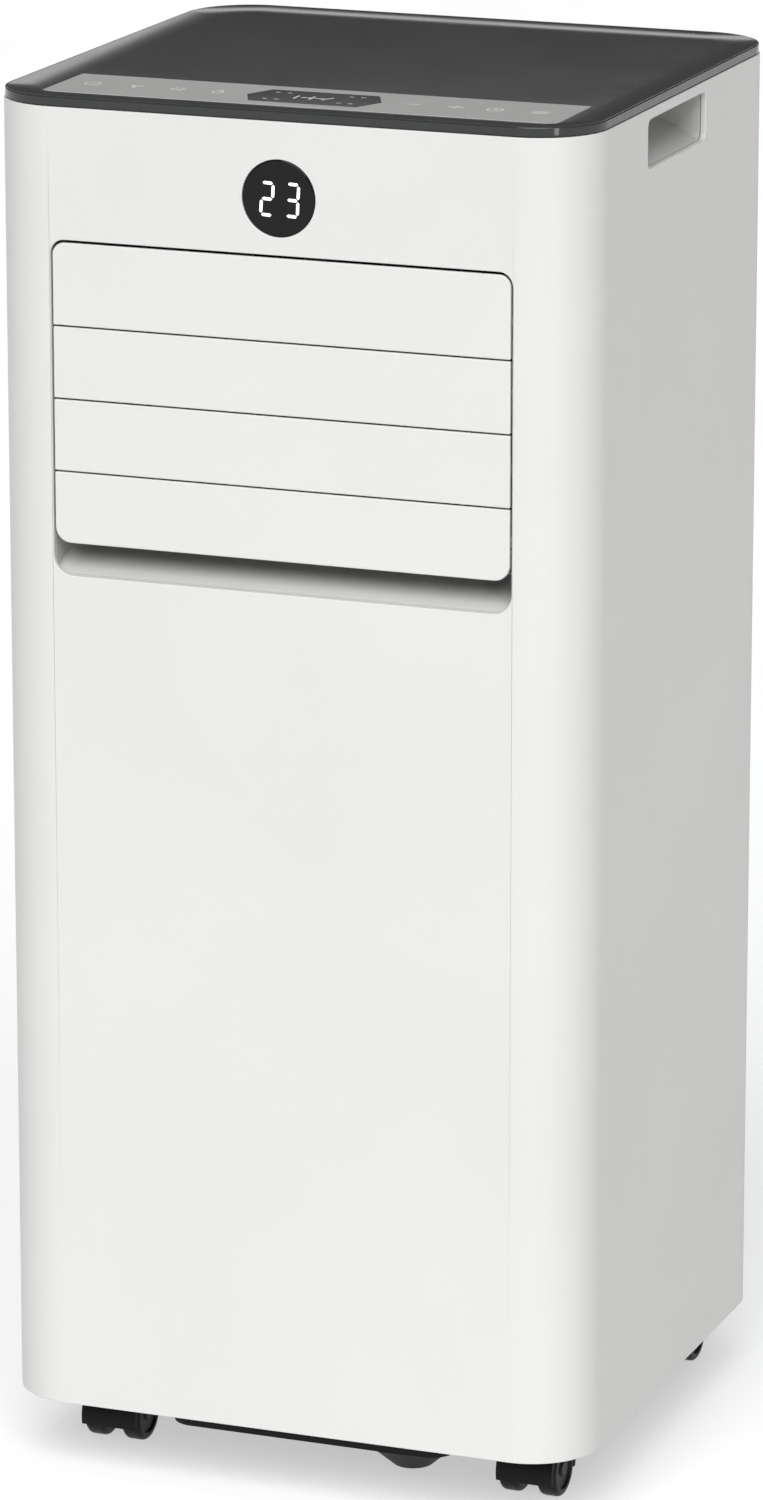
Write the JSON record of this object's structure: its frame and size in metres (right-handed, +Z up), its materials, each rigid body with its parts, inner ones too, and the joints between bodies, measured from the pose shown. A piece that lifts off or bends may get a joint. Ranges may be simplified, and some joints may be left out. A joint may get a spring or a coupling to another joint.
{
  "type": "portable air conditioner",
  "caption": "Tall white portable air conditioner with a closed front louvre, round display, dark control lid, rear filters and hose collar, on swivel casters.",
  "frame": {"origin": "on the floor, under the middle of the casing's outline", "axes": "+Z up, the louvred front faces -Y, +X to the right as seen from the front"},
  "size_m": [0.308, 0.296, 0.703],
  "materials": {
    "white_shell": "satin",
    "lid_charcoal": "gloss",
    "strip_grey": "satin",
    "display_black": "gloss",
    "digit_white": "lit",
    "circuit_board": "satin",
    "black_plastic": "satin",
    "filter_net": "matte",
    "rubber": "matte",
    "wheel_tread": "satin",
    "steel": "satin",
    "black_enamel": "gloss",
    "copper": "satin",
    "coil_fins": "satin"
  },
  "bodies": {
    "casing": {"front_shell": "white_shell", "rear_cover": "white_shell", "top_lid": "lid_charcoal", "control_strip": "strip_grey", "control_window": "display_black", "control_board": "circuit_board", "display_lens": "display_black", "display_digits": "digit_white", "display_board": "circuit_board", "outlet_frame": "white_shell", "louvre_motor": "steel", "exhaust_collar": "black_plastic", "cord_gland": "black_plastic", "handle_left": "white_shell", "handle_right": "white_shell", "base_pan": "black_plastic", "deck": "black_plastic", "compressor": "black_enamel", "compressor_mounts": "rubber", "refrigerant_pipes": "copper", "evaporator_coil": "coil_fins", "condenser_coil": "coil_fins", "evaporator_scroll": "black_plastic", "condenser_scroll": "black_plastic", "evaporator_fan_motor": "steel", "condenser_fan_motor": "steel", "electrical_box": "steel", "cover_screws": "steel"},
    "blade_1": {"louvre_blade_1": "white_shell"},
    "blade_2": {"louvre_blade_2": "white_shell"},
    "blade_3": {"louvre_blade_3": "white_shell"},
    "blade_4": {"louvre_blade_4": "white_shell"},
    "louvre_link_bar": {"louvre_link": "black_plastic"},
    "vane_1": {"vane_1": "white_shell"},
    "vane_2": {"vane_2": "white_shell"},
    "vane_3": {"vane_3": "white_shell"},
    "vane_4": {"vane_4": "white_shell"},
    "vane_5": {"vane_5": "white_shell"},
    "vane_link_bar": {"vane_link": "black_plastic"},
    "upper_filter_cassette": {"upper_filter": "white_shell", "upper_filter_mesh": "filter_net"},
    "lower_filter_cassette": {"lower_filter": "white_shell", "lower_filter_mesh": "filter_net"},
    "drain_plug": {"drain_plug": "rubber"},
    "drain_cap": {"drain_cap": "rubber"},
    "float": {"water_float": "white_shell"},
    "evaporator_fan": {"evaporator_fan": "black_plastic"},
    "condenser_fan": {"condenser_fan": "black_plastic"},
    "caster_fl": {"caster_housing_fl": "black_plastic"},
    "wheels_fl": {"caster_axle_fl": "steel", "caster_wheels_fl": "wheel_tread"},
    "caster_fr": {"caster_housing_fr": "black_plastic"},
    "wheels_fr": {"caster_axle_fr": "steel", "caster_wheels_fr": "wheel_tread"},
    "caster_rl": {"caster_housing_rl": "black_plastic"},
    "wheels_rl": {"caster_axle_rl": "steel", "caster_wheels_rl": "wheel_tread"},
    "caster_rr": {"caster_housing_rr": "black_plastic"},
    "wheels_rr": {"caster_axle_rr": "steel", "caster_wheels_rr": "wheel_tread"}
  },
  "joints": [
    {"name": "louvre_1", "type": "hinge", "parent": "casing", "child": "blade_1", "pos_m": [0, -0.139, 0.609], "axis": [1, 0, 0], "range_deg": [0, 72]},
    {"name": "louvre_2", "type": "hinge", "parent": "casing", "child": "blade_2", "pos_m": [0, -0.139, 0.573], "axis": [1, 0, 0], "range_deg": [0, 72]},
    {"name": "louvre_3", "type": "hinge", "parent": "casing", "child": "blade_3", "pos_m": [0, -0.139, 0.537], "axis": [1, 0, 0], "range_deg": [0, 72]},
    {"name": "louvre_4", "type": "hinge", "parent": "casing", "child": "blade_4", "pos_m": [0, -0.139, 0.501], "axis": [1, 0, 0], "range_deg": [0, 72]},
    {"name": "louvre_link_pivot", "type": "hinge", "parent": "blade_1", "child": "louvre_link_bar", "pos_m": [-0.1285, -0.127, 0.609], "axis": [1, 0, 0], "range_deg": [-72, 0]},
    {"name": "vane_swing_1", "type": "hinge", "parent": "casing", "child": "vane_1", "pos_m": [-0.08, -0.097, 0.559], "axis": [0, 0, 1], "range_deg": [-35, 35]},
    {"name": "vane_swing_2", "type": "hinge", "parent": "casing", "child": "vane_2", "pos_m": [-0.04, -0.097, 0.559], "axis": [0, 0, 1], "range_deg": [-35, 35]},
    {"name": "vane_swing_3", "type": "hinge", "parent": "casing", "child": "vane_3", "pos_m": [0, -0.097, 0.559], "axis": [0, 0, 1], "range_deg": [-35, 35]},
    {"name": "vane_swing_4", "type": "hinge", "parent": "casing", "child": "vane_4", "pos_m": [0.04, -0.097, 0.559], "axis": [0, 0, 1], "range_deg": [-35, 35]},
    {"name": "vane_swing_5", "type": "hinge", "parent": "casing", "child": "vane_5", "pos_m": [0.08, -0.097, 0.559], "axis": [0, 0, 1], "range_deg": [-35, 35]},
    {"name": "vane_link_pivot", "type": "hinge", "parent": "vane_1", "child": "vane_link_bar", "pos_m": [-0.08, -0.088, 0.559], "axis": [0, 0, 1], "range_deg": [-35, 35]},
    {"name": "upper_filter_pull", "type": "slide", "parent": "casing", "child": "upper_filter_cassette", "axis": [0, 1, 0], "range_m": [0, 0.12]},
    {"name": "lower_filter_pull", "type": "slide", "parent": "casing", "child": "lower_filter_cassette", "axis": [0, 1, 0], "range_m": [0, 0.12]},
    {"name": "drain_plug_pull", "type": "slide", "parent": "casing", "child": "drain_plug", "axis": [0, 1, 0], "range_m": [0, 0.04]},
    {"name": "drain_cap_pull", "type": "slide", "parent": "casing", "child": "drain_cap", "axis": [0, 1, 0], "range_m": [0, 0.04]},
    {"name": "float_rise", "type": "slide", "parent": "casing", "child": "float", "axis": [0, 0, 1], "range_m": [0, 0.009]},
    {"name": "evaporator_fan_spin", "type": "hinge", "parent": "casing", "child": "evaporator_fan", "pos_m": [0, 0.045, 0.488], "axis": [0, 1, 0], "continuous": true},
    {"name": "condenser_fan_spin", "type": "hinge", "parent": "casing", "child": "condenser_fan", "pos_m": [0.045, 0.045, 0.178], "axis": [0, 1, 0], "continuous": true},
    {"name": "caster_fl_swivel", "type": "hinge", "parent": "casing", "child": "caster_fl", "pos_m": [-0.1125, -0.098, 0.058], "axis": [0, 0, 1], "continuous": true},
    {"name": "caster_fl_roll", "type": "hinge", "parent": "caster_fl", "child": "wheels_fl", "pos_m": [-0.11234, -0.089, 0.014], "axis": [0.9998, -0.0175, 0], "continuous": true},
    {"name": "caster_fr_swivel", "type": "hinge", "parent": "casing", "child": "caster_fr", "pos_m": [0.1125, -0.098, 0.058], "axis": [0, 0, 1], "continuous": true},
    {"name": "caster_fr_roll", "type": "hinge", "parent": "caster_fr", "child": "wheels_fr", "pos_m": [0.11266, -0.089, 0.014], "axis": [0.9998, -0.0175, 0], "continuous": true},
    {"name": "caster_rl_swivel", "type": "hinge", "parent": "casing", "child": "caster_rl", "pos_m": [-0.1125, 0.113, 0.058], "axis": [0, 0, 1], "continuous": true},
    {"name": "caster_rl_roll", "type": "hinge", "parent": "caster_rl", "child": "wheels_rl", "pos_m": [-0.11234, 0.122, 0.014], "axis": [0.9998, -0.0175, 0], "continuous": true},
    {"name": "caster_rr_swivel", "type": "hinge", "parent": "casing", "child": "caster_rr", "pos_m": [0.1125, 0.113, 0.058], "axis": [0, 0, 1], "continuous": true},
    {"name": "caster_rr_roll", "type": "hinge", "parent": "caster_rr", "child": "wheels_rr", "pos_m": [0.11266, 0.122, 0.014], "axis": [0.9998, -0.0175, 0], "continuous": true}
  ],
  "couplings": [
    {"joint": "louvre_2", "follows": "louvre_1", "ratio": 1},
    {"joint": "louvre_3", "follows": "louvre_1", "ratio": 1},
    {"joint": "louvre_4", "follows": "louvre_1", "ratio": 1},
    {"joint": "louvre_link_pivot", "follows": "louvre_1", "ratio": -1},
    {"joint": "vane_swing_2", "follows": "vane_swing_1", "ratio": 1},
    {"joint": "vane_swing_3", "follows": "vane_swing_1", "ratio": 1},
    {"joint": "vane_swing_4", "follows": "vane_swing_1", "ratio": 1},
    {"joint": "vane_swing_5", "follows": "vane_swing_1", "ratio": 1},
    {"joint": "vane_link_pivot", "follows": "vane_swing_1", "ratio": -1}
  ]
}
